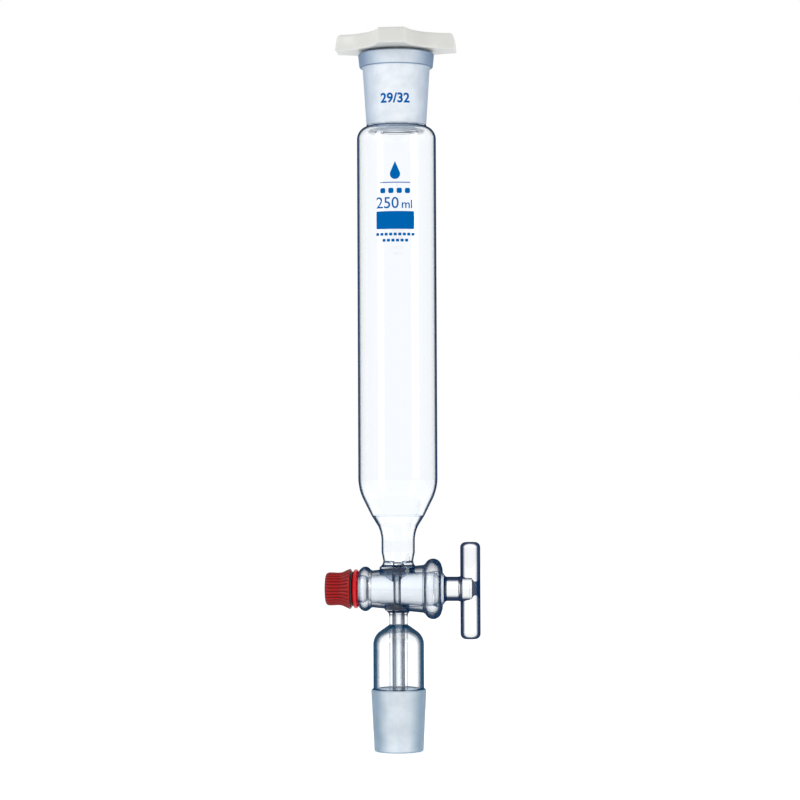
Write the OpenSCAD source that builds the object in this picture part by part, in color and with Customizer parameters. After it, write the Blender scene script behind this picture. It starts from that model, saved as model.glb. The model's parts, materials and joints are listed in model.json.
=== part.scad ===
// Cylindrical dropping funnel, 250 ml, with a glass stopcock and a plastic stopper.
// Millimetres. +Z runs up the funnel's axis and the stopcock's key lies along X.
// The origin is on the axis at the gauge plane of the lower cone joint, where it seats in a flask.

/* [Ground joints] */
// Diameter of the cone and the socket at their gauge planes
joint_d = 29.2; // [27:0.1:30.5]
// Length of the ground zone
joint_l = 32; // [30:1:34]

/* [Reservoir] */
// Outside diameter of the body tube
reservoir_d = 42; // [40:0.5:46]
// Length of the straight, cylindrical stretch
reservoir_l = 180; // [120:1:220]
// Glass thickness of the body tube
reservoir_wall = 2; // [1.6:0.1:2.4]
// Half angle of the lower cone
drain_angle = 26.5; // [24:0.5:30]

/* [Socket] */
// Height of the socket above the shoulder
socket_h = 38; // [36:0.5:42]
// Outside diameter of the rim
rim_d = 40.4; // [39:0.2:42]
// Height of the rim band
rim_h = 7.3; // [5:0.2:8]

/* [Stopcock] */
// Height of the key's axis above the gauge plane
cock_z = 53.6; // [50:0.2:60]
// Diameter of the key's large end
key_d = 18.8; // [18:0.1:19.4]
// Bore through the key
key_bore_d = 4; // [2:0.5:4.5]
// Radial gap between the ground key and its barrel
key_gap = 0.03; // [0.02:0.01:0.06]
// Length of the T-bar
handle_l = 51.2; // [40:0.2:56]
// Diameter of the T-bar
handle_d = 10.6; // [9:0.2:11.4]

/* [Drip stem and jacket] */
// Outside diameter of the stem
stem_d = 9.8; // [9:0.1:10.4]
// Bore of the stem
stem_bore_d = 4.5; // [3:0.1:5]
// Outside diameter of the jacket
jacket_d = 26.8; // [26:0.1:27.6]
// Glass thickness of the jacket
jacket_wall = 2.3; // [2:0.1:2.6]

/* [Retaining cap] */
// Diameter of the cap's grip
cap_d = 17.6; // [17:0.1:18.6]
// Number of grip ribs
cap_ribs = 30; // [20:2:36]
// Pitch of the tail's thread
thread_pitch = 2.5; // [2.4:0.1:2.8]

/* [Stopper] */
// Reach of the head's four lobes from the axis
head_reach = 32; // [28:0.5:34]
// Thickness of the head
head_h = 8.6; // [7:0.2:10]
// Number of sealing rings on the plug
plug_rings = 6; // [3:1:7]

/* [Hidden] */
$fn = 96;

glass = [0.80, 0.89, 0.94, 0.45];
ground_glass = [0.86, 0.90, 0.94, 0.85];
cap_red = [0.72, 0.09, 0.09];
rubber_black = [0.04, 0.04, 0.05];
polythene = [0.92, 0.92, 0.91];
disc_red = [0.87, 0.22, 0.20];

taper = 0.05;                        // radius lost per millimetre on a 1:10 cone
joint_r = joint_d / 2;
joint_tip_r = joint_r - taper * joint_l;
edge = 0.8;                          // roundness of a fire-polished edge
through = 20;                        // how far a cross drilling runs either side of the key

// Jacket and stem
jacket_r = jacket_d / 2;
jacket_bore_r = jacket_r - jacket_wall;
dome_z = 24.3;                       // where the jacket starts to close
dome_r = 8.5;                        // bend of the dome
dome_a = 55;                         // how far it turns before running straight to the stem
stem_r = stem_d / 2;
stem_tip_z = -joint_l + 6;           // the stem ends inside the cone
stem_fillet_r = 3.5;
stem_fillet_z = cock_z - 14.5;
stem_root_z = cock_z - 8.2;          // buried in the barrel
stem_root_flare = 2.8;
ground_run_out = [0.4, 0.6];         // bevel where the grinding ends
jacket_start_z = 1.2;

// Barrel, with places along X given as [station, radius]
barrel_small_x = -20.7;
barrel_large_x = 23.2;
small_mouth_r = 9.6;
large_mouth_r = 11.4;
key_end_r = key_d / 2;
function bore_r(x) = key_end_r - taper * (barrel_large_x - x);
barrel_waist = [-13.9, 9.75];
barrel_shoulder = [13.4, 12.65];
small_bead = [-17.5, 8.7, 3.1];      // station and radius of its centre, and its own radius
large_bead = [18.5, 11.6, 4.4];
side_hole_d = stem_bore_d;

// Neck and reservoir
neck_r = 8.8;
neck_foot_r = 7.9;
neck_foot_wall = 1.9;
neck_foot_bend_r = 4;
neck_foot_z = cock_z + 15;
neck_straight_z = 73;                // where the foot's gentle taper ends
neck_wall = 2.2;
neck_flare_r = 10.4;
neck_root_z = cock_z + 4;            // buried in the barrel
neck_waist_z = 79;
neck_bend_r = 18;
bowl_z = cock_z + 12.8;              // floor of the neck, pierced by the side hole
bowl_r = 3;
weld_z = 92.5;                       // where the neck is fused to the reservoir
weld_r = 14.1;
inner_weld_r = weld_r - reservoir_wall / cos(drain_angle);
reservoir_r = reservoir_d / 2;
drain_bend_r = 26;
drain_corner_z = weld_z + (reservoir_r - weld_r) / tan(drain_angle);
body_z = drain_corner_z + drain_bend_r * tan(drain_angle / 2);
body_top_z = body_z + reservoir_l;
shoulder_bend_r = 7;
shoulder_a = 74;                     // how far the shoulder turns before the socket
mouth_r = joint_tip_r;
mouth_rim_r = mouth_r + 2.9;         // outside of the socket's foot
mouth_lip_r = 1;
mouth_z = body_top_z + shoulder_bend_r + 0.5;
socket_top_z = mouth_z + socket_h;
socket_slope = 0.063;                // outside radius gained per millimetre
rim_fillet_r = 1.2;
rim_corner_r = 0.6;

// Key
key_small_x = barrel_small_x + 0.5;
key_large_x = barrel_large_x - 0.2;
key_weld_x = key_large_x + 1.4;      // where the handle is fused to the plug
key_neck_r = 6.4;
key_weld_r = key_neck_r + 1.2;
key_fillet_r = 1.6;
handle_fillet_r = 2.6;
key_step = 0.8;                      // chamfers on the tail's end
small_end_bevel = 1.2;               // keeps the plug's small end clear of the washer
handle_r = handle_d / 2;
handle_x = 38.2;
handle_edge = 2.8;
handle_drop = 0.9;                   // the bar is fused slightly off centre
tail_r = 5.2;
tail_end_x = -36.0;

// Retaining parts on the key's tail
washer_x = [-23.6, -20.85];
washer_r = 10.4;
ring_bore_r = 6.3;
o_ring_section = 1.3;
o_ring_x = washer_x[0] - o_ring_section - 0.05;
o_ring_mean_r = 8.1;
cap_open_x = o_ring_x + 0.3;
cap_end_x = -38.6;
cap_bore_r = 6.5;
cap_flare_r = 10.6;
cap_flare_x = -31.4;                 // where the grip runs into the flared mouth
cap_lip = 1.8;                       // straight edge of the flared mouth
cap_edge_r = 1.6;
cap_recess_x = o_ring_x - o_ring_section - 0.15;
ring_seat_r = o_ring_mean_r + o_ring_section + 0.25;
beyond = 1;                          // how far a cut runs past the face it opens
thread_crest = 0.85;                 // height of each ridge
thread_count = 4;
thread_x = -35;                      // outer end of the tail's thread
rib_h = 0.45;

// Stopper
plug_gap = 0.05;
plug_tip_r = 2.5;                    // roundness of the plug's end
plug_l = joint_l + 1;
plug_wall = 1.8;
plug_top_z = socket_top_z + 1.2;     // underside of the head, just above the rim
head_roof = 1.8;                     // thickness over the hollow underside
lobe_w = 14.5;
hollow_r = 22;                       // reach of the head between its lobes
skirt = 2;                           // thickness of the head's side walls
disc_r = 14.6;
disc_h = 1.6;
disc_gap = 0.05;
disc_edge = [0.3, 0.3];              // bevel round the disc
disc_sink = 0.2;                     // how far it lies below the head's top
plug_core_r = 12.4;                  // hollow of the plug under the disc
ring_h = 0.35;                       // height of a sealing ring
ring_land = 0.2;                     // half width of its flat crest
ring_foot = 0.6;                     // half width where it meets the plug

// Points round part of a circle
function arc(c, r, a, b, n = 10) =
    [for (i = [0:n]) c + r * [cos(a + (b - a) * i / n), sin(a + (b - a) * i / n)]];

module turned(outline) {
    rotate_extrude() polygon(outline);
}

// Turned about X at the stopcock's height, from points given as [station, radius]
module turned_on_key_axis(outline) {
    translate([0, 0, cock_z]) rotate([0, 90, 0])
        rotate_extrude() polygon([for (p = outline) [p[1], p[0]]]);
}

module key_axis_rod(r1, r2, from, to) {
    translate([from, 0, cock_z]) rotate([0, 90, 0]) cylinder(r1 = r1, r2 = r2, h = to - from);
}

// Drilling down the funnel's axis, through the stopcock
module cross_drilling(d) {
    translate([0, 0, cock_z - through]) cylinder(d = d, h = 2 * through);
}

// Trapezoid crests of the tail's thread, one to each pitch, as [station, radius]
function thread_crests(from, count) = [for (i = [0:count - 1])
    let (x = from + i * thread_pitch)
    each [[x, tail_r], [x + 0.35 * thread_pitch, tail_r + thread_crest],
          [x + 0.6 * thread_pitch, tail_r + thread_crest], [x + 0.95 * thread_pitch, tail_r]]];

module socket() {
    bottom = mouth_z;
    neck_top = socket_top_z - rim_h;
    under_rim_r = mouth_rim_r + socket_slope * (neck_top - bottom);
    corner_c = [rim_d / 2 - 2 * rim_corner_r, neck_top + rim_corner_r];
    color(ground_glass) turned(concat(
        [[mouth_r, bottom], [mouth_rim_r, bottom]],
        arc([under_rim_r + rim_fillet_r, neck_top - rim_fillet_r], rim_fillet_r, 180, 90, 5),
        arc(corner_c, rim_corner_r, -90, 0, 4),
        arc([rim_d / 2 - edge, socket_top_z - edge], edge, 0, 90, 5),
        arc([joint_r + edge, socket_top_z - edge], edge, 90, 180, 5),
        [[joint_r - taper * edge, socket_top_z - 2 * edge], [mouth_r, socket_top_z - joint_l]]));
}

module reservoir() {
    drain_c = [reservoir_r - drain_bend_r, body_z];
    shoulder_c = [reservoir_r - shoulder_bend_r, body_top_z];
    inner_bend_r = shoulder_bend_r - reservoir_wall;
    color(glass) turned(concat(
        [[weld_r, weld_z]],
        arc(drain_c, drain_bend_r, -drain_angle, 0),
        arc(shoulder_c, shoulder_bend_r, 0, shoulder_a, 14),
        [[mouth_rim_r, mouth_z], [mouth_r, mouth_z]],
        arc([mouth_r + mouth_lip_r, body_top_z + inner_bend_r + mouth_lip_r], mouth_lip_r, 180, 270, 4),
        arc(shoulder_c, inner_bend_r, 90, 0, 14),
        arc(drain_c, drain_bend_r - reservoir_wall, 0, -drain_angle),
        [[inner_weld_r, weld_z]]));
}

// Outside of the stopcock barrel: a tapered tube with a bead at each end
module barrel_envelope() {
    turned_on_key_axis(concat(
        [[barrel_small_x, 0]],
        arc([barrel_small_x + edge, small_mouth_r], edge, 180, 120, 3),
        arc([small_bead[0], small_bead[1]], small_bead[2], 130, 35, 12),
        [barrel_waist, barrel_shoulder],
        arc([large_bead[0], large_bead[1]], large_bead[2], 155, 12, 16),
        [[barrel_large_x, large_mouth_r], [barrel_large_x, 0]]));
}

module barrel() {
    color(glass) difference() {
        barrel_envelope();
        key_axis_rod(bore_r(barrel_small_x - beyond), bore_r(barrel_large_x + beyond),
                     barrel_small_x - beyond, barrel_large_x + beyond);
        cross_drilling(side_hole_d);
    }
}

module neck() {
    neck_bore_r = neck_r - neck_wall;
    foot_bore_r = neck_foot_r - neck_foot_wall;
    bend_c = [neck_r + neck_bend_r, neck_waist_z];
    color(glass) difference() {
        turned(concat(
            [[0, cock_z], [neck_flare_r, neck_root_z]],
            arc([neck_foot_r + neck_foot_bend_r, neck_foot_z], neck_foot_bend_r, 240, 180, 6),
            [[neck_r, neck_straight_z]],
            arc(bend_c, neck_bend_r, 180, 180 - drain_angle, 8),
            [[weld_r, weld_z], [0, weld_z]]));
        turned(concat(
            [[0, bowl_z]],
            arc([foot_bore_r - bowl_r, bowl_z + bowl_r], bowl_r, -90, 0, 6),
            [[neck_bore_r, neck_straight_z]],
            arc(bend_c, neck_bend_r + neck_wall, 180, 180 - drain_angle, 8),
            [[inner_weld_r, weld_z], [inner_weld_r, weld_z + beyond], [0, weld_z + beyond]]));
        translate([0, 0, cock_z]) cylinder(d = side_hole_d, h = bowl_z - cock_z + beyond);
        barrel_envelope();
    }
}

module drip_stem() {
    color(glass) difference() {
        turned(concat(
            [[0, stem_tip_z], [stem_r - edge, stem_tip_z], [stem_r, stem_tip_z + edge]],
            arc([stem_r + stem_fillet_r, stem_fillet_z], stem_fillet_r, 180, 110, 6),
            [[stem_r + stem_root_flare, stem_root_z], [0, stem_root_z]]));
        translate([0, 0, stem_tip_z - beyond])
            cylinder(d = stem_bore_d, h = cock_z - stem_tip_z + beyond);
        barrel_envelope();
    }
}

module cone_joint() {
    dome_c = [jacket_r - dome_r, dome_z];
    straight_end = [stem_r, dome_z + dome_r * sin(dome_a)
                    + (jacket_r - dome_r * (1 - cos(dome_a)) - stem_r) / tan(dome_a)];
    color(ground_glass) turned(concat(
        arc([joint_tip_r - edge, -joint_l + edge], edge, -90, 0, 5),
        [[joint_r, 0], [joint_r - ground_run_out[0], ground_run_out[1]], [jacket_r, jacket_start_z]],
        arc(dome_c, dome_r, 0, dome_a, 12),
        [straight_end, straight_end - [0, jacket_wall / sin(dome_a)]],
        arc(dome_c, dome_r - jacket_wall, dome_a, 0, 12),
        [[jacket_bore_r, -joint_l + edge]],
        arc([jacket_bore_r + edge, -joint_l + edge], edge, 180, 270, 5)));
}

module key_plug() {
    color(ground_glass) difference() {
        turned_on_key_axis(concat(
            [[tail_end_x, 0], [tail_end_x, tail_r - key_step], [tail_end_x + key_step, tail_r]],
            thread_crests(thread_x, thread_count),
            [[key_small_x - key_step, tail_r],
             [key_small_x - key_step, bore_r(key_small_x) - small_end_bevel],
             [key_small_x, bore_r(key_small_x) - key_gap],
             [key_large_x, bore_r(key_large_x) - key_gap],
             [key_weld_x, key_weld_r], [key_weld_x, 0]]));
        cross_drilling(key_bore_d);
    }
}

module key_handle() {
    bar_r = handle_r;
    half = handle_l / 2;
    color(glass) union() {
        turned_on_key_axis(concat(
            [[key_weld_x, 0], [key_weld_x, key_weld_r]],
            arc([key_weld_x + key_fillet_r, key_neck_r + key_fillet_r], key_fillet_r, 195, 270, 5),
            arc([handle_x - bar_r - handle_fillet_r / 2, key_neck_r + handle_fillet_r],
                handle_fillet_r, 270, 330, 5),
            [[handle_x, key_neck_r + handle_fillet_r / 2], [handle_x, 0]]));
        translate([handle_x, 0, cock_z - handle_drop]) turned(concat(
            [[0, -half]],
            arc([bar_r - handle_edge, handle_edge - half], handle_edge, -90, 0, 8),
            arc([bar_r - handle_edge, half - handle_edge], handle_edge, 0, 90, 8),
            [[0, half]]));
    }
}

module thrust_washer() {
    color(cap_red) turned_on_key_axis([
        [washer_x[0], ring_bore_r], [washer_x[0], washer_r - 0.5], [washer_x[0] + 0.5, washer_r],
        [washer_x[1] - 0.9, washer_r], [washer_x[1], washer_r - 1.4], [washer_x[1], ring_bore_r]]);
}

module o_ring() {
    color(rubber_black) translate([o_ring_x, 0, cock_z]) rotate([0, 90, 0])
        rotate_extrude() translate([o_ring_mean_r, 0]) circle(r = o_ring_section, $fn = 48);
}

// Ribbed cross-section of the cap's grip, with straight-sided ribs
function ribbed_outline(root_r, crest_r) = [for (i = [0:cap_ribs - 1])
    each [for (p = [[-0.5, root_r], [-0.25, root_r], [-0.12, crest_r], [0.12, crest_r], [0.25, root_r]])
        let (a = 360 * (i + p[0]) / cap_ribs) p[1] * [cos(a), sin(a)]]];

module retaining_cap() {
    grip_r = cap_d / 2;
    color(cap_red) difference() {
        union() {
            intersection() {
                translate([cap_end_x, 0, cock_z]) rotate([0, 90, 0])
                    linear_extrude(height = cap_open_x - cap_lip - cap_end_x)
                        polygon(ribbed_outline(grip_r - rib_h, grip_r));
                turned_on_key_axis(concat(
                    [[cap_end_x, 0]],
                    arc([cap_end_x + cap_edge_r, grip_r - cap_edge_r], cap_edge_r, 180, 90, 5),
                    [[cap_open_x, grip_r + beyond], [cap_open_x, 0]]));
            }
            turned_on_key_axis([
                [cap_flare_x, 0], [cap_flare_x, grip_r - 2 * rib_h],
                [cap_open_x - cap_lip, cap_flare_r], [cap_open_x, cap_flare_r], [cap_open_x, 0]]);
        }
        turned_on_key_axis([
            [tail_end_x - 0.6, 0], [tail_end_x - 0.6, cap_bore_r], [cap_recess_x, cap_bore_r],
            [cap_recess_x, ring_seat_r], [cap_open_x + beyond, ring_seat_r],
            [cap_open_x + beyond, 0]]);
    }
}

// Outline of the four-lobed head, at a given reach
function head_outline(reach) =
    let (half = lobe_w / 2, dip = hollow_r - head_reach + reach,
         chord = (reach - half) / sqrt(2), sag = (reach + half) / sqrt(2) - dip,
         bend = (chord * chord + sag * sag) / (2 * sag), sweep = asin(chord / bend))
    [for (q = [0:3]) each arc((dip + bend) * [cos(90 * q + 45), sin(90 * q + 45)], bend,
        90 * q + 225 + sweep, 90 * q + 225 - sweep, 12)];

module stopper_body() {
    top = plug_top_z + head_h;
    under = plug_top_z;
    function plug_r(z) = joint_r - plug_gap - taper * (socket_top_z - z);
    tip = under - plug_l;
    seat = top - disc_h;
    ring_step = (socket_top_z - 2 - tip) / (plug_rings + 1);
    rings = [for (i = [1:plug_rings]) let (z = tip + 2 + i * ring_step)
        each [[plug_r(z) - ring_h, z - ring_foot], [plug_r(z), z - ring_land],
              [plug_r(z), z + ring_land], [plug_r(z) - ring_h, z + ring_foot]]];
    color(polythene) difference() {
        union() {
            difference() {
                translate([0, 0, under]) linear_extrude(height = head_h)
                    polygon(head_outline(head_reach));
                translate([0, 0, under - beyond])
                    linear_extrude(height = head_h - head_roof + beyond)
                    polygon(head_outline(head_reach - skirt));
            }
            turned(concat(
                [[0, tip]],
                arc([plug_r(tip) - ring_h - plug_tip_r, tip + plug_tip_r], plug_tip_r, -90, 0, 6),
                rings,
                [[plug_r(socket_top_z) - ring_h, socket_top_z], [plug_r(socket_top_z), under],
                 [disc_r + plug_wall, top - head_roof / 2], [0, top - head_roof / 2]]));
        }
        translate([0, 0, tip + plug_wall])
            cylinder(r1 = plug_r(tip) - plug_wall - ring_h, r2 = plug_core_r,
                     h = seat - tip - plug_wall + disc_gap);
        translate([0, 0, seat]) cylinder(r = disc_r + disc_gap, h = disc_h + beyond);
    }
}

module stopper_disc() {
    top = plug_top_z + head_h;
    color(disc_red) turned([
        [0, top - disc_h], [disc_r, top - disc_h], [disc_r, top - disc_sink - disc_edge[1]],
        [disc_r - disc_edge[0], top - disc_sink], [0, top - disc_sink]]);
}

socket();
reservoir();
neck();
barrel();
drip_stem();
cone_joint();
key_plug();
key_handle();
thrust_washer();
o_ring();
retaining_cap();
stopper_body();
stopper_disc();
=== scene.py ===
import json
import math

import bpy
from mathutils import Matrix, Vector


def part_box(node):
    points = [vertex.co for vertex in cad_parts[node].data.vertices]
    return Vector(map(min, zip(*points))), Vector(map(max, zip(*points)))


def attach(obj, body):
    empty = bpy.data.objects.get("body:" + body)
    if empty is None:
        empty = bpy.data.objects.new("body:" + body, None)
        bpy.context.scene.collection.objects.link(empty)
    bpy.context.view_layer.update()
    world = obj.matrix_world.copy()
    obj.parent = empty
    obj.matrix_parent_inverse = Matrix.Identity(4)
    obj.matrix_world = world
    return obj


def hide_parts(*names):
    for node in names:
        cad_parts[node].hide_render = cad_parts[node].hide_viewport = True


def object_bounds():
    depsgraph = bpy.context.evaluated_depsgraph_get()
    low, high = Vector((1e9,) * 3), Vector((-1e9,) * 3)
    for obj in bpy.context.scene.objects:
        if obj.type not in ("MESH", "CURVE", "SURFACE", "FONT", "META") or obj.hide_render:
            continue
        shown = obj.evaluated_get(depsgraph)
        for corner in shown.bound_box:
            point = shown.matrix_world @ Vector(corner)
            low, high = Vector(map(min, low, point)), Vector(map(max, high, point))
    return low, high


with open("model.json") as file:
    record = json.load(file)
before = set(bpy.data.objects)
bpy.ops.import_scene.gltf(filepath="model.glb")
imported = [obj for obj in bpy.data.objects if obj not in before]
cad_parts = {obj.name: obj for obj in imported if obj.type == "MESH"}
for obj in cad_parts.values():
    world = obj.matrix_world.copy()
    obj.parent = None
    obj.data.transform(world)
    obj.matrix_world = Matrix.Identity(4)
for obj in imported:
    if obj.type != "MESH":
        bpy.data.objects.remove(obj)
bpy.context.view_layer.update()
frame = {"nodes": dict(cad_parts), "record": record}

# ------------------------------------------------------------------------------------------------
# Fused glass body: reservoir, neck, stopcock barrel, drip stem and jacket.
# Borosilicate tube, flame-worked into one piece with the ready-made joints and then annealed.
# Each tube's outside is given painted deep blue shade where it turns away, standing for its thick walls seen
# edge on.
# ------------------------------------------------------------------------------------------------
MM = 0.001


def srgb(hex_colour):
    """Linear RGBA from an sRGB hex string."""
    def linear(c):
        return c / 12.92 if c <= 0.04045 else ((c + 0.055) / 1.055) ** 2.4
    return tuple(linear(int(hex_colour[i:i + 2], 16) / 255) for i in (1, 3, 5)) + (1.0,)


def new_material(name):
    material = bpy.data.materials.new(name)
    material.use_nodes = True
    material.node_tree.nodes.clear()
    return material, material.node_tree


def node(tree, kind, settings=None, stops=(), **links):
    """Adds a shader node. An input is named with _ for a space, or i and its number.
    A colour ramp's stops are a place and either a share from 0 to 1 or a hex colour."""
    made = tree.nodes.new(kind)
    for key, value in (settings or {}).items():
        setattr(made, key, value)
    for key, value in links.items():
        numbered = key[0] == "i" and key[1:].isdigit()
        socket = made.inputs[int(key[1:])] if numbered else made.inputs[key.replace("_", " ")]
        if isinstance(value, bpy.types.NodeSocket):
            tree.links.new(value, socket)
        else:
            socket.default_value = value
    if stops:
        elements = made.color_ramp.elements
        while len(elements) < len(stops):
            elements.new(0.5)
        for element, (at, value) in zip(elements, stops):
            element.position = at
            element.color = srgb(value) if isinstance(value, str) else (value, value, value, 1)
    return made


def lets_lamps_through(tree, surface, tint):
    """Shadow rays pass through, so that glass doesn't throw a solid shadow."""
    light_path = node(tree, "ShaderNodeLightPath")
    clear = node(tree, "ShaderNodeBsdfTransparent", Color=srgb(tint))
    mix = node(tree, "ShaderNodeMixShader", i0=light_path.outputs["Is Shadow Ray"], i1=surface,
               i2=clear.outputs[0])
    return mix.outputs[0]


GLASS_IOR = 1.473


def borosilicate(name, painted_edge_shade=None, painted_rim_colour="#0C2F4E", tint="#FBFDFF", roughness=0.0):
    """Clear glass, with painted blue shade at its edges: the ramp says how much of a surface is painted blue
    as it turns away, from 0 to 1.
    """
    material, tree = new_material(name)
    body = node(tree, "ShaderNodeBsdfPrincipled", Base_Color=srgb(tint), Roughness=roughness, IOR=GLASS_IOR,
                Transmission_Weight=1.0)
    surface = body.outputs[0]
    # A diffuse blue is mixed in as the surface turns away. It is painted shade.
    if painted_edge_shade:
        turned = node(tree, "ShaderNodeLayerWeight", Blend=0.5).outputs["Facing"]
        share = node(tree, "ShaderNodeValToRGB", stops=painted_edge_shade, Fac=turned).outputs["Color"]
        rim = node(tree, "ShaderNodeBsdfDiffuse", Color=srgb(painted_rim_colour))
        surface = node(tree, "ShaderNodeMixShader", i0=share, i1=surface, i2=rim.outputs[0]).outputs[0]
    node(tree, "ShaderNodeOutputMaterial", Surface=lets_lamps_through(tree, surface, "#F6FAFD"))
    return material


# The inside of a tube is clear, and shows only its reflections.
inner_glass = borosilicate("flame-polished borosilicate, inside")
# A drilled bore curves tightly, so it gets painted blue shade nearly all over.
bore_glass = borosilicate("drilled borosilicate", [(0.0, 0.05), (0.2, 0.4), (0.35, 0.95), (1.0, 1.0)])
# A wide thin tube is clear across its middle, with a painted dark blue shade line down each side.
reservoir_glass = borosilicate("flame-polished borosilicate, 42 mm tube",
                               [(0.2, 0.0), (0.45, 0.05), (0.6, 0.2), (0.7, 0.96), (1.0, 1.0)])
# A narrower tube has a thicker wall for its size, so its painted blue shade begins further in.
neck_glass = borosilicate("flame-polished borosilicate, 18 mm tube",
                          [(0.2, 0.0), (0.42, 0.06), (0.52, 0.3), (0.61, 0.97), (1.0, 1.0)])
# The barrel's wall is the thickest, and its painted blue shade reaches well towards its middle.
barrel_glass = borosilicate("flame-polished borosilicate, stopcock barrel",
                            [(0.02, 0.0), (0.2, 0.14), (0.38, 0.5), (0.52, 0.94), (1.0, 1.0)])
# The jacket has broad sides of painted greenish blue shade.
jacket_glass = borosilicate("flame-polished borosilicate, 27 mm tube",
                            [(0.3, 0.0), (0.37, 0.45), (0.44, 0.75), (0.52, 0.97), (1.0, 1.0)], "#12405E")
# The stem is seen through the jacket, so the painted blue shade on its sides is softer.
stem_glass = borosilicate("flame-polished borosilicate, 10 mm tube",
                          [(0.3, 0.0), (0.6, 0.25), (0.8, 0.7), (1.0, 0.8)], "#12405E")


def clear_weld(name, tint):
    """Fused glass has no surface where two tubes meet, so light passes there with a tint. The tint is slight
    at a seam, and darker at a foot, where it is painted shade.
    """
    material, tree = new_material(name)
    through = node(tree, "ShaderNodeBsdfTransparent", Color=srgb(tint))
    node(tree, "ShaderNodeOutputMaterial", Surface=through.outputs[0])
    return material


fused_seam = clear_weld("fused seam", "#F4F7FA")
# The foot's darker blue-grey tint is painted shade where the neck and stem meet the barrel and where the stem
# meets the cone.
fused_foot_painted_shade = clear_weld("fused foot", "#A9BCCD")
CLOUD_SIZE = 9 * MM
# Real grinding marks are about 0.05 mm, too fine to show, so they are drawn five times coarser.
GRIT_SIZE = 0.25 * MM
PIT_DEPTH = 0.02 * MM


def carborundum_ground(name, painted_frost_shade):
    """Frosted glass: painted shade as it turns away, with grinding marks and slight cloudiness."""
    material, tree = new_material(name)
    on_glass = node(tree, "ShaderNodeTexCoord").outputs["Object"]
    cloud = node(tree, "ShaderNodeTexNoise", Vector=on_glass, Scale=1 / CLOUD_SIZE, Detail=4.0,
                 Roughness=0.6)
    cloudy = node(tree, "ShaderNodeValToRGB", stops=[(0.35, "#EEF0F2"), (0.6, "#FFFFFF")],
                  Fac=cloud.outputs[0])
    turned = node(tree, "ShaderNodeLayerWeight", Blend=0.5).outputs["Facing"]
    # Darker as the surface turns away. This is painted shade.
    frost_painted_shade = node(tree, "ShaderNodeValToRGB", stops=painted_frost_shade, Fac=turned)
    frost_and_painted_shade = node(tree, "ShaderNodeMix", {"data_type": "RGBA", "blend_type": "MULTIPLY"}, i0=1.0,
                 i6=frost_painted_shade.outputs["Color"], i7=cloudy.outputs["Color"])
    grain = node(tree, "ShaderNodeTexNoise", Vector=on_glass, Scale=1 / GRIT_SIZE, Detail=2.0)
    pits = node(tree, "ShaderNodeBump", Strength=0.3, Distance=PIT_DEPTH, Height=grain.outputs[0])
    ground = node(tree, "ShaderNodeBsdfPrincipled", Base_Color=frost_and_painted_shade.outputs[2], Roughness=0.6, IOR=GLASS_IOR,
                  Transmission_Weight=0.25, Normal=pits.outputs[0])
    node(tree, "ShaderNodeOutputMaterial", Surface=lets_lamps_through(tree, ground.outputs[0], "#D5DBE1"))
    return material


def dress(name, materials, pick=None):
    """Gives a CAD node its materials, face by face where pick is given a face's centre and normal."""
    o = frame["nodes"][name]
    o.data.materials.clear()
    for m in materials:
        o.data.materials.append(m)
    if pick:
        for polygon in o.data.polygons:
            polygon.material_index = pick(polygon.center, polygon.normal)


def faces_axis(c, n):
    """Whether a face looks inwards to the funnel's own axis."""
    return c.x * n.x + c.y * n.y < 0


UPRIGHT = 0.5


def in_bore(c, n, r):
    """Whether a face is the upright wall of a hole down the axis."""
    return math.hypot(c.x, c.y) < r and faces_axis(c, n) and abs(n.z) < UPRIGHT


SEAM = 0.02 * MM
SIDE_BORE_R = 2.35 * MM
mouth_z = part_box("reservoir")[1].z
weld_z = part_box("reservoir")[0].z
dress("reservoir", [reservoir_glass, inner_glass, fused_seam],
      lambda c, n: 2 if min(abs(c.z - mouth_z), abs(c.z - weld_z)) < SEAM else int(faces_axis(c, n)))
cock_z = frame["record"]["behaviour"]["joints"][0]["pos_m"][2]
BARREL_REACH = 13.0 * MM
LOOKS_IN = 0.4


def on_barrel(c, n):
    """Whether a face of the neck or stem is the one fused to the barrel."""
    up = c.z - cock_z
    return math.hypot(c.y, up) < BARREL_REACH and n.y * c.y + n.z * up < -LOOKS_IN * abs(up)


dress("neck", [neck_glass, inner_glass, fused_seam, fused_foot_painted_shade],
      lambda c, n: 3 if on_barrel(c, n) else 2 if abs(c.z - weld_z) < SEAM else int(faces_axis(c, n)))
dress("barrel", [barrel_glass, inner_glass, bore_glass],
      lambda c, n: 2 if in_bore(c, n, SIDE_BORE_R) else int(c.y * n.y + (c.z - cock_z) * n.z < 0))
jacket_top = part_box("cone_joint")[1].z
dress("drip_stem", [stem_glass, bore_glass, neck_glass, fused_foot_painted_shade],
      lambda c, n: 1 if in_bore(c, n, SIDE_BORE_R) else 3 if on_barrel(c, n) else 2 * int(c.z > jacket_top))

# ------------------------------------------------------------------------------------------------
# Ground joints: the socket at the top and the cone at the foot of the jacket.
# Their tapers are ground with carborundum, which leaves the glass frosted white.
# ------------------------------------------------------------------------------------------------
GROUND_TOP = 0.5 * MM
GROUND_INNER_R = 12.4 * MM
RIM_H = 7.5 * MM
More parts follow.
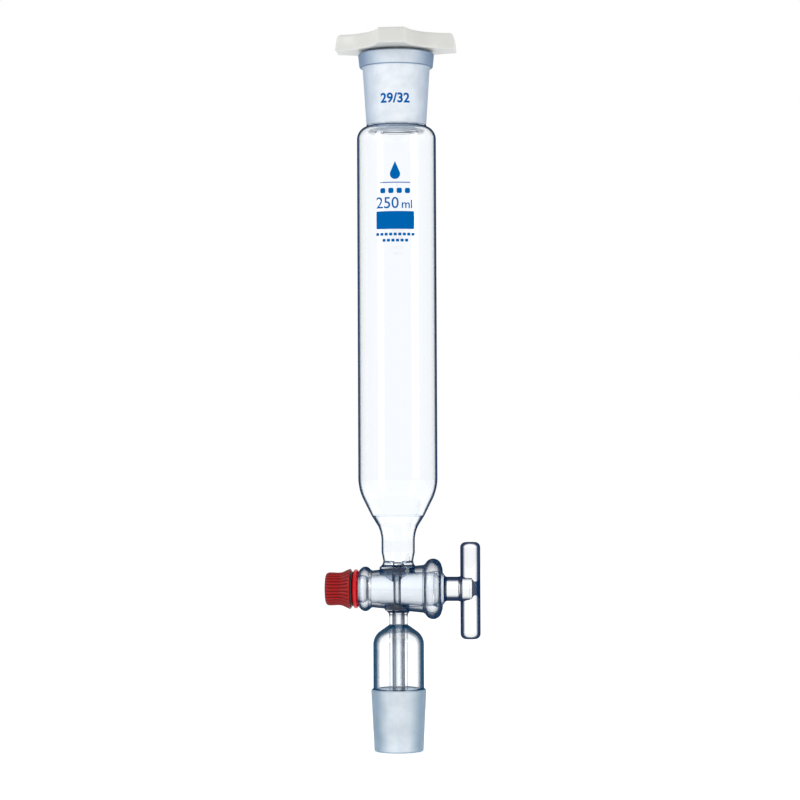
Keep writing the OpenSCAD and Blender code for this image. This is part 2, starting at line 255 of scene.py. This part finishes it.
# Ground glass is white face on, with painted grey-blue shade where it turns away. The rim's painted shade is
# darker, for its thicker glass.
ground_socket = carborundum_ground("ground socket", [
    (0.0, "#ECEFF3"), (0.1, "#E6EBF0"), (0.22, "#DBE2EA"),
    (0.38, "#CBD4DF"), (0.66, "#A9B8CA"), (1.0, "#93A6BC")])
ground_rim = carborundum_ground("ground rim", [
    (0.0, "#DEE5EC"), (0.1, "#D0D8E3"), (0.17, "#C0CEDB"),
    (0.28, "#A6B7C8"), (0.43, "#859AB4"), (0.7, "#6C84A4")])
ground_cone = carborundum_ground("ground cone", [
    (0.0, "#DEE5EB"), (0.1, "#D2DBE2"), (0.18, "#BBC8D2"),
    (0.3, "#9DB0BF"), (0.42, "#889EB0"), (1.0, "#8399AB")])
socket_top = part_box("socket")[1].z
dress("socket", [ground_socket, fused_seam, ground_rim],
      lambda c, n: 1 if abs(c.z - mouth_z) < SEAM else 2 * int(c.z > socket_top - RIM_H))
STEM_R = 4.95 * MM


def cone_face(c, n):
    """Ground outside below the jacket, and where it is fused to the stem, else clear."""
    across = math.hypot(c.x, c.y)
    if c.z < GROUND_TOP and across > GROUND_INNER_R:
        return 1
    return 3 if across < STEM_R else 2 * int(faces_axis(c, n))


dress("cone_joint", [jacket_glass, ground_cone, inner_glass, fused_foot_painted_shade], cone_face)

# ------------------------------------------------------------------------------------------------
# Prints fired on the front: joint size, volume, a drop emblem and the write-on panel.
# Blue ceramic ink, screen-printed about 0.04 mm thick and wrapped round the glass.
# ------------------------------------------------------------------------------------------------
INK = 0.04 * MM
PRINT_TURN = math.radians(2.2)
CUT_EVERY, CUTS_EACH_SIDE = 0.5, 24  # in millimetres, so that a wide print bends smoothly
MERGE = 0.002 * MM


def one_colour(name, colour, **inputs):
    """A moulding or an ink with the same colour all through."""
    material, tree = new_material(name)
    surface = node(tree, "ShaderNodeBsdfPrincipled", Base_Color=srgb(colour), **inputs)
    node(tree, "ShaderNodeOutputMaterial", Surface=surface.outputs[0])
    return material


# Fired ink is opaque and matt, so it keeps its blue from any side.
ink_blue = one_colour("fired blue ceramic ink", "#00589C", Roughness=0.6, IOR=1.5, Specular_IOR_Level=0.0)
TUBE_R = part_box("reservoir")[1].x
SOCKET_FOOT_R = 15.9 * MM
SOCKET_SLOPE = 0.063


def tube_radius(z):
    """Outside radius of the glass at a height, on the reservoir or on the tapering socket."""
    return TUBE_R if z < mouth_z else SOCKET_FOOT_R + SOCKET_SLOPE * (z - mouth_z)


def use(o):
    """Selects one object and nothing else."""
    bpy.ops.object.select_all(action="DESELECT")
    o.select_set(True)
    bpy.context.view_layer.objects.active = o


def place(o, material, body):
    """Puts a finished mesh in its body, with its place in its mesh."""
    use(o)
    bpy.ops.object.transform_apply(location=True, rotation=True, scale=True)
    o.data.materials.clear()
    o.data.materials.append(material)
    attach(o, body)


def print_on(o, z):
    """Wraps a flat print round the front of the tube at height z. Its thickness is along Z."""
    use(o)
    bpy.ops.object.mode_set(mode="EDIT")
    for step in range(-CUTS_EACH_SIDE, CUTS_EACH_SIDE + 1):
        bpy.ops.mesh.select_all(action="SELECT")
        bpy.ops.mesh.bisect(plane_co=(step * CUT_EVERY * MM, 0, 0), plane_no=(1, 0, 0))
    bpy.ops.mesh.select_all(action="SELECT")
    bpy.ops.mesh.normals_make_consistent(inside=False)
    bpy.ops.object.mode_set(mode="OBJECT")
    for v in o.data.vertices:
        height = z + v.co.y
        r = tube_radius(height) + INK / 2 + v.co.z
        turn = v.co.x / r + PRINT_TURN
        v.co = (r * math.sin(turn), -r * math.cos(turn), height)
    place(o, ink_blue, "funnel")


def text_mesh(name, text, size, weight):
    """Lettering lying in X and Y, as a closed mesh on its own."""
    bpy.ops.object.select_all(action="DESELECT")
    bpy.ops.object.text_add(location=(0, 0, 0))
    o = bpy.context.object
    o.name = name
    o.data.body = text
    o.data.size = size
    o.data.align_x, o.data.align_y = "CENTER", "CENTER"
    o.data.offset = weight
    o.data.extrude = INK / 2
    o.data.resolution_u = 4
    bpy.ops.object.convert(target="MESH")
    o = bpy.context.object
    bpy.ops.object.mode_set(mode="EDIT")
    bpy.ops.mesh.select_all(action="SELECT")
    bpy.ops.mesh.remove_doubles(threshold=MERGE)
    bpy.ops.mesh.normals_make_consistent(inside=False)
    bpy.ops.object.mode_set(mode="OBJECT")
    return o


def lettering(name, text, size, z, x=0.0, weight=0.0):
    """Lettering printed on the tube, its middle at height z and x to the right."""
    o = text_mesh(name, text, size, weight)
    for v in o.data.vertices:
        v.co.x += x
        v.co.z += INK / 2
    print_on(o, z)


def flat_print(name, outline, z):
    """A flat print from an outline that a filled circle's vertices are moved to."""
    bpy.ops.object.select_all(action="DESELECT")
    bpy.ops.mesh.primitive_circle_add(vertices=len(outline), radius=MM, fill_type="NGON",
                                      location=(0, 0, 0))
    o = bpy.context.object
    o.name = name
    for v, (x, y) in zip(o.data.vertices, outline):
        v.co = (x, y, 0)
    bpy.ops.object.mode_set(mode="EDIT")
    bpy.ops.mesh.select_all(action="SELECT")
    bpy.ops.mesh.extrude_region_move(TRANSFORM_OT_translate={"value": (0, 0, INK)})
    bpy.ops.object.mode_set(mode="OBJECT")
    print_on(o, z)


def rounded_box(width, height, corner, steps=5):
    """Outline of a box round the origin, with each corner drawn in steps."""
    outline = []
    for q, (sx, sy) in enumerate(((1, 1), (-1, 1), (-1, -1), (1, -1))):
        cx, cy = sx * (width / 2 - corner), sy * (height / 2 - corner)
        for i in range(steps):
            a = math.radians(90 * q + 90 * i / (steps - 1))
            outline.append((cx + corner * math.cos(a), cy + corner * math.sin(a)))
    return outline


def dash_row(name, count, pitch, width, height, z):
    """A row of small dashes, which stands for a line of words."""
    for i in range(count):
        x = (i - (count - 1) / 2) * pitch
        dash = [(x + dx, dy) for dx, dy in rounded_box(width, height, 0.3 * height)]
        flat_print(f"{name}_{i + 1}", dash, z)


lettering("print_joint_size", "29/32", size=7.0 * MM, z=312.2 * MM, weight=0.2 * MM)
DROP_R = 2.7 * MM
DROP_TIP = 6.8 * MM
DROP_ARC = range(-202, 23, 8)  # degrees, round the drop's lower part
drop = [(DROP_R * math.cos(math.radians(a)), DROP_R * math.sin(math.radians(a))) for a in DROP_ARC]
drop.append((0, DROP_TIP))
flat_print("print_drop_emblem", drop, z=271.7 * MM)
flat_print("print_rule", rounded_box(width=16.2 * MM, height=0.5 * MM, corner=0.2 * MM), z=267.3 * MM)
dash_row("print_dots", count=4, pitch=4.4 * MM, width=2.8 * MM, height=2.8 * MM, z=263.0 * MM)
lettering("print_volume", "250", size=8.4 * MM, z=256.3 * MM, x=-4.2 * MM, weight=0.06 * MM)
lettering("print_unit", "ml", size=6.4 * MM, z=255.7 * MM, x=6.4 * MM, weight=0.06 * MM)
flat_print("print_write_on_panel", rounded_box(width=20.6 * MM, height=9.4 * MM, corner=0.7 * MM),
           z=247.5 * MM)
dash_row("print_upper_dashes", count=9, pitch=2.4 * MM, width=1.7 * MM, height=1.5 * MM, z=240.1 * MM)
dash_row("print_lower_dashes", count=6, pitch=2.4 * MM, width=1.7 * MM, height=1.5 * MM, z=236.9 * MM)

# ------------------------------------------------------------------------------------------------
# Stopcock key: a tapered glass plug, cross-drilled, with a threaded tail for the retaining parts.
# A T-handle of solid rod is fused to it. The plug is ground to fit its barrel and then greased.
# ------------------------------------------------------------------------------------------------
# Solid rod bends light strongly, so all but a narrow middle gets painted deep blue shade.
rod_glass = borosilicate("flame-polished borosilicate rod",
                         [(0.0, 0.02), (0.13, 0.05), (0.2, 0.35), (0.29, 0.96), (1.0, 1.0)], "#08264A")
# Grease fills the grinding marks, which leaves the plug nearly clear with a slight haze. Its sides get
# painted blue shade as they turn away.
greased_glass = borosilicate("ground and greased borosilicate",
                             [(0.0, 0.02), (0.3, 0.06), (0.5, 0.3), (0.7, 0.8), (1.0, 0.9)],
                             painted_rim_colour="#1D4468", tint="#F3F6FA", roughness=0.06)
dress("key_plug", [greased_glass, bore_glass], lambda c, n: int(in_bore(c, n, SIDE_BORE_R)))
dress("key_handle", [rod_glass])

# ------------------------------------------------------------------------------------------------
# Retaining parts on the key's tail: a moulded thrust washer, a rubber O-ring and a screw cap.
# The cap is a red polypropylene moulding with ribs that run out over its flared mouth.
# ------------------------------------------------------------------------------------------------
# The washer comes from a polished mould, so it is bright and glossy.
washer_red = one_colour("glossy red polypropylene", "#B80A12", Roughness=0.14, IOR=1.49,
                        Specular_IOR_Level=0.35)
dress("thrust_washer", [washer_red])

# Moulded rubber is near black, with a soft broad shine.
rubber = one_colour("black nitrile rubber", "#0B0D14", Roughness=0.45, IOR=1.5)
dress("o_ring", [rubber])

# The cap is satin from its mould, with painted shade where it turns away and between its ribs.
cap_red, tree = new_material("moulded red polypropylene")
cap_facing = node(tree, "ShaderNodeLayerWeight", Blend=0.5).outputs["Facing"]
# Darker red as the surface turns away is painted shade.
cap_painted_edge_shade = node(tree, "ShaderNodeValToRGB", stops=[(0.0, "#9C0A10"), (0.35, "#830A0D"), (1.0, "#4A0507")],
                  Fac=cap_facing)
moulded = node(tree, "ShaderNodeBsdfPrincipled", Base_Color=cap_painted_edge_shade.outputs["Color"], Roughness=0.38,
               IOR=1.49, Specular_IOR_Level=0.2)
node(tree, "ShaderNodeOutputMaterial", Surface=moulded.outputs[0])
# The grooves' darker red is painted shade between the ribs.
groove_painted_shade = one_colour("moulded red polypropylene, painted groove shade", "#650609", Roughness=0.5, IOR=1.49,
                        Specular_IOR_Level=0.1)
CLOSE = 0.001 * MM


def lathe(name, stations, centre, axis, segments):
    """A closed turned shape. Each station is a distance along the axis and a radius."""
    bpy.ops.object.select_all(action="DESELECT")
    turn = (0, math.pi / 2, 0) if axis.x else (0, 0, 0)
    bpy.ops.mesh.primitive_circle_add(vertices=segments, radius=stations[0][1], fill_type="NGON",
                                      location=centre + axis * stations[0][0], rotation=turn)
    o = bpy.context.object
    o.name = name
    bpy.ops.object.transform_apply(location=True, rotation=True, scale=True)
    bpy.ops.object.mode_set(mode="EDIT")
    bpy.ops.mesh.select_all(action="SELECT")
    for (d0, r0), (d1, r1) in zip(stations, stations[1:]):
        grow = r1 / r0
        bpy.ops.mesh.extrude_region_move(TRANSFORM_OT_translate={"value": axis * (d1 - d0)})
        bpy.ops.transform.resize(value=(1, grow, grow) if axis.x else (grow, grow, 1),
                                 center_override=centre + axis * d1)
    bpy.ops.mesh.select_all(action="SELECT")
    bpy.ops.mesh.remove_doubles(threshold=CLOSE)
    bpy.ops.mesh.normals_make_consistent(inside=False)
    bpy.ops.object.mode_set(mode="OBJECT")
    return o


def rib_phase(across):
    """Where a direction from the cap's axis lies between one rib's crest, 0, and the next, 1."""
    return RIBS * math.atan2(across.z, across.y) / (2 * math.pi) % 1


RIBS = 30
RIB_STEPS = 6
GROOVE_SHADE_SHARE = 0.2
CAP_BORE_R = 6.5 * MM
CAP_MOUTH_R = 10.35 * MM
GRIP_INNER_R = 7 * MM
ALONG_TOLERANCE, ACROSS_TOLERANCE = 0.01 * MM, 0.05 * MM
cap_low, cap_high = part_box("retaining_cap")
ring_low, ring_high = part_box("o_ring")
tail_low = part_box("key_plug")[0].x
# The mouth stops a little short, so that the O-ring shows behind it.
end_x, open_x = cap_low.x, cap_high.x - 0.45 * MM
seat_r = ring_high.y + 0.25 * MM
seat_x = ring_low.x - 0.15 * MM
# station, radius and rib depth, in millimetres from the closed end, then the plain inside
outside = [(0.0, 7.1, 0.0), (0.25, 7.9, 0.0), (0.9, 8.5, 0.2), (1.8, 8.8, 0.45), (4.0, 8.78, 0.5),
           (6.0, 8.66, 0.5), (7.4, 8.66, 0.5), (8.6, 8.85, 0.5), (9.8, 9.3, 0.5), (11.0, 9.9, 0.45),
           (12.0, 10.35, 0.35), (12.7, 10.6, 0.2), (13.3, 10.6, 0.0)]
stations = [(end_x + x * MM, r * MM, depth * MM) for x, r, depth in outside]
stations += [(open_x, CAP_MOUTH_R, 0.0), (open_x, seat_r, 0.0), (seat_x, seat_r, 0.0),
             (seat_x, CAP_BORE_R, 0.0), (tail_low - 0.6 * MM, CAP_BORE_R, 0.0)]
cap = lathe("retaining_cap_moulding", [(x, r) for x, r, _ in stations], Vector((0, 0, cock_z)),
            Vector((1, 0, 0)), RIBS * RIB_STEPS)
for v in cap.data.vertices:
    across = Vector((0, v.co.y, v.co.z - cock_z))
    depth = next((d for x, r, d in stations
                  if abs(v.co.x - x) < ALONG_TOLERANCE and abs(across.length - r) < ACROSS_TOLERANCE), 0)
    if depth:
        across *= 1 - depth * (0.5 - 0.5 * math.cos(2 * math.pi * rib_phase(across))) / across.length
        v.co = (v.co.x, across.y, cock_z + across.z)
bpy.ops.object.shade_smooth_by_angle(angle=math.radians(50))
place(cap, cap_red, "retaining_cap")
cap.data.materials.append(groove_painted_shade)
# Faces in the grooves get the painted groove shade.
for polygon in cap.data.polygons:
    across = Vector((0, polygon.center.y, polygon.center.z - cock_z))
    ribbed = end_x + 0.5 * MM < polygon.center.x < open_x - 0.6 * MM and across.length > GRIP_INNER_R
    polygon.material_index = int(ribbed and abs(rib_phase(across) - 0.5) < GROOVE_SHADE_SHARE)
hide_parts("retaining_cap")

# ------------------------------------------------------------------------------------------------
# Stopper: a natural polythene moulding with a four-lobed head and sealing rings round its plug.
# The head's sides have draft and soft edges, and a red size disc is pressed into its top.
# ------------------------------------------------------------------------------------------------
# Unpigmented polythene is milky, and light goes a few millimetres into it, which softens its edges.
polythene = one_colour("natural polythene", "#C6C6C2", Roughness=0.36, IOR=1.51, Subsurface_Weight=0.35,
                       Subsurface_Radius=(1.0, 0.95, 0.9), Subsurface_Scale=3 * MM)
body_low, body_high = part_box("stopper_body")
disc_low, disc_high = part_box("stopper_disc")
REACH = body_high.x
LOBE_HALF = 7.25 * MM
DIP = 22 * MM
HEAD_H = 8.6 * MM
head_z = body_high.z - HEAD_H
chord = (REACH - LOBE_HALF) / math.sqrt(2)
sag = (REACH + LOBE_HALF) / math.sqrt(2) - DIP
bend = (chord ** 2 + sag ** 2) / (2 * sag)
tip_turn = math.atan2(LOBE_HALF, REACH)


def head_reach(turn):
    """How far the head reaches from its axis, at a turn from the middle of a lobe."""
    a = abs((turn + math.pi / 4) % (math.pi / 2) - math.pi / 4)
    if a <= tip_turn:
        return REACH / math.cos(a)
    far = DIP + bend
    off = math.pi / 4 - a
    return far * math.cos(off) - math.sqrt(bend ** 2 - (far * math.sin(off)) ** 2)


TIP_STEPS, HOLLOW_STEPS = 6, 18
turns = []
for quarter in range(4):
    start = quarter * math.pi / 2
    turns += [start - tip_turn + 2 * tip_turn * i / TIP_STEPS for i in range(TIP_STEPS)]
    hollow = math.pi / 2 - 2 * tip_turn
    turns += [start + tip_turn + hollow * i / HOLLOW_STEPS for i in range(HOLLOW_STEPS)]
bpy.ops.object.select_all(action="DESELECT")
bpy.ops.mesh.primitive_circle_add(vertices=len(turns), radius=REACH, fill_type="NGON", location=(0, 0, 0))
head = bpy.context.object
head.name = "stopper_moulding"
for v, turn in zip(head.data.vertices, turns):
    r = head_reach(turn)
    v.co = (r * math.cos(turn), r * math.sin(turn), head_z)
bpy.ops.object.mode_set(mode="EDIT")
bpy.ops.mesh.select_all(action="SELECT")
# height above the underside in millimetres, and how much of the outline's size is left
UNDERSIDE = 0.985
soft_edge = [(0.5, 1.0), (6.4, 0.975), (7.3, 0.965), (8.0, 0.948), (8.45, 0.925), (8.6, 0.895)]
height, size = 0.0, UNDERSIDE
bpy.ops.transform.resize(value=(size, size, 1), center_override=(0, 0, head_z))
for up, share in soft_edge:
    bpy.ops.mesh.extrude_region_move(TRANSFORM_OT_translate={"value": (0, 0, (up - height) * MM)})
    bpy.ops.transform.resize(value=(share / size, share / size, 1), center_override=(0, 0, head_z))
    height, size = up, share
bpy.ops.mesh.select_all(action="SELECT")
bpy.ops.mesh.normals_make_consistent(inside=False)
bpy.ops.object.mode_set(mode="OBJECT")


def carve(o, tool, operation):
    """Joins a tool to an object or cuts it away, and then removes the tool."""
    use(o)
    cutter = o.modifiers.new("cut", "BOOLEAN")
    cutter.operation = operation
    cutter.object = tool
    cutter.solver = "EXACT"
    bpy.ops.object.modifier_apply(modifier="cut")
    bpy.data.objects.remove(tool)


SEAL_RINGS = 6
RING_H = 0.4 * MM
TIP_ROUND = 2.5 * MM
PLUG_TOP_R = 14.55 * MM
TAPER = 0.05
PLAIN_TIP = 2 * MM
PLUG_ROOT = 1 * MM
SEAL_PROFILE = ((-0.6, 0), (-0.25, 0.8), (0, 1), (0.25, 0.8), (0.6, 0))  # millimetres, share of RING_H
DISC_GAP = 0.06 * MM
RECESS_H, RECESS_MIDDLE = 4 * MM, 1.99 * MM
TURNED_SIDES = 96
tip_z = body_low.z


def plug_r(z):
    """The plug's radius over its rings, on the joint's one in ten taper."""
    return PLUG_TOP_R - TAPER * (socket_top - z)


round_tip = [(tip_z + TIP_ROUND * (1 - math.cos(a)), plug_r(tip_z) - RING_H - TIP_ROUND * (1 - math.sin(a)))
             for a in (math.radians(18 * i) for i in range(6))]
ring_gap = (socket_top - PLAIN_TIP - tip_z) / (SEAL_RINGS + 1)
seals = []
for i in range(1, SEAL_RINGS + 1):
    ring_z = tip_z + PLAIN_TIP + i * ring_gap
    for dz, proud in SEAL_PROFILE:
        z = ring_z + dz * MM
        seals.append((z, plug_r(z) - RING_H * (1 - proud)))
plug_stations = round_tip + seals + [(socket_top, plug_r(socket_top) - RING_H),
                                     (head_z + PLUG_ROOT, plug_r(socket_top))]
plug = lathe("stopper_plug", plug_stations, Vector((0, 0, 0)), Vector((0, 0, 1)), TURNED_SIDES)
carve(head, plug, "UNION")
bpy.ops.object.select_all(action="DESELECT")
bpy.ops.mesh.primitive_cylinder_add(vertices=TURNED_SIDES, radius=disc_high.x + DISC_GAP, depth=RECESS_H,
                                    location=(0, 0, disc_low.z + RECESS_MIDDLE))
carve(head, bpy.context.object, "DIFFERENCE")
bpy.ops.object.mode_set(mode="EDIT")
bpy.ops.mesh.select_all(action="SELECT")
bpy.ops.mesh.remove_doubles(threshold=CLOSE)
bpy.ops.mesh.normals_make_consistent(inside=False)
bpy.ops.object.mode_set(mode="OBJECT")
bpy.ops.object.shade_smooth_by_angle(angle=math.radians(35))
place(head, polythene, "stopper")
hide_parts("stopper_body")

# The disc is matt, with paler specks where its colour is thin.
SPECK_SIZE = 0.8 * MM
disc_red, tree = new_material("red printed disc")
on_disc = node(tree, "ShaderNodeTexCoord").outputs["Object"]
speckle = node(tree, "ShaderNodeTexNoise", Vector=on_disc, Scale=1 / SPECK_SIZE, Detail=3.0)
disc_colour = node(tree, "ShaderNodeValToRGB", stops=[(0.35, "#D6423C"), (0.65, "#E4625A")],
                   Fac=speckle.outputs[0])
printed = node(tree, "ShaderNodeBsdfPrincipled", Base_Color=disc_colour.outputs["Color"], Roughness=0.5,
               IOR=1.5)
node(tree, "ShaderNodeOutputMaterial", Surface=printed.outputs[0])
dress("stopper_disc", [disc_red])

# The size mark is a thin matt ink, darker than the disc under it.
disc_ink = one_colour("dark red ink", "#8E1519", Roughness=0.5, IOR=1.5)
size_mark = text_mesh("print_stopper_size", "29/32", size=6.8 * MM, weight=0.12 * MM)
size_mark.location = (0, 0, disc_high.z + INK / 2)
place(size_mark, disc_ink, "stopper")

# ------------------------------------------------------------------------------------------------
# Stage: a pale matt floor, two softboxes, a white studio and the camera.
# Glass shows what surrounds it, so the studio is white all round and a little dimmer as light.
# ------------------------------------------------------------------------------------------------
low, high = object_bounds()
FLOOR_GAP = 0.2 * MM
floor_z = low.z - FLOOR_GAP
bpy.ops.object.select_all(action="DESELECT")
bpy.ops.mesh.primitive_plane_add(size=2, location=(0, 0.4, floor_z))
floor = bpy.context.object
floor.name = "floor"
floor.scale = (3.0, 2.0, 1)
bpy.ops.object.transform_apply(location=True, rotation=True, scale=True)
paper = one_colour("pale backdrop", "#F2F4F6", Roughness=0.9, Specular_IOR_Level=0.0,
                   Emission_Color=(1, 1, 1, 1), Emission_Strength=0.4)
floor.data.materials.append(paper)

world = bpy.data.worlds.new("studio")
bpy.context.scene.world = world
world.use_nodes = True
sky = world.node_tree.nodes["Background"]
sky.inputs["Color"].default_value = (1, 1, 1, 1)
SEEN, SHED = 1.0, 0.74
light_path = node(world.node_tree, "ShaderNodeLightPath")
strength = node(world.node_tree, "ShaderNodeMapRange", i0=light_path.outputs["Is Diffuse Ray"], i3=SEEN,
                i4=SHED)
world.node_tree.links.new(strength.outputs[0], sky.inputs["Strength"])


def softbox(name, spot, aim, width, height, power):
    """A rectangular area lamp at a spot, turned to its aim."""
    data = bpy.data.lights.new(name, "AREA")
    data.shape = "RECTANGLE"
    data.size, data.size_y, data.energy = width, height, power
    o = bpy.data.objects.new(name, data)
    bpy.context.scene.collection.objects.link(o)
    o.location = spot
    o.rotation_euler = (Vector(aim) - Vector(spot)).to_track_quat("-Z", "Y").to_euler()


middle = (low + high) / 2
softbox("key softbox", (-1.1, -0.9, 0.9), middle, width=0.5, height=0.9, power=9)
softbox("fill softbox", (1.2, -0.7, 0.5), middle, width=0.5, height=0.9, power=5)

camera_data = bpy.data.cameras.new("camera")
camera_data.lens = 113.6
camera_data.sensor_width = 36
camera_data.shift_x = 0.0027
camera = bpy.data.objects.new("camera", camera_data)
bpy.context.scene.collection.objects.link(camera)
distance, eye_z, aim_z = 1.34, 0.118, 0.1537
swing, roll = math.radians(4.5), math.radians(0.25)
camera.location = (distance * math.sin(swing), -distance * math.cos(swing), eye_z)
camera.rotation_euler = (math.pi / 2 + math.atan2(aim_z - eye_z, distance), roll, swing)
bpy.context.scene.camera = camera
bpy.context.scene.view_settings.view_transform = "Standard"
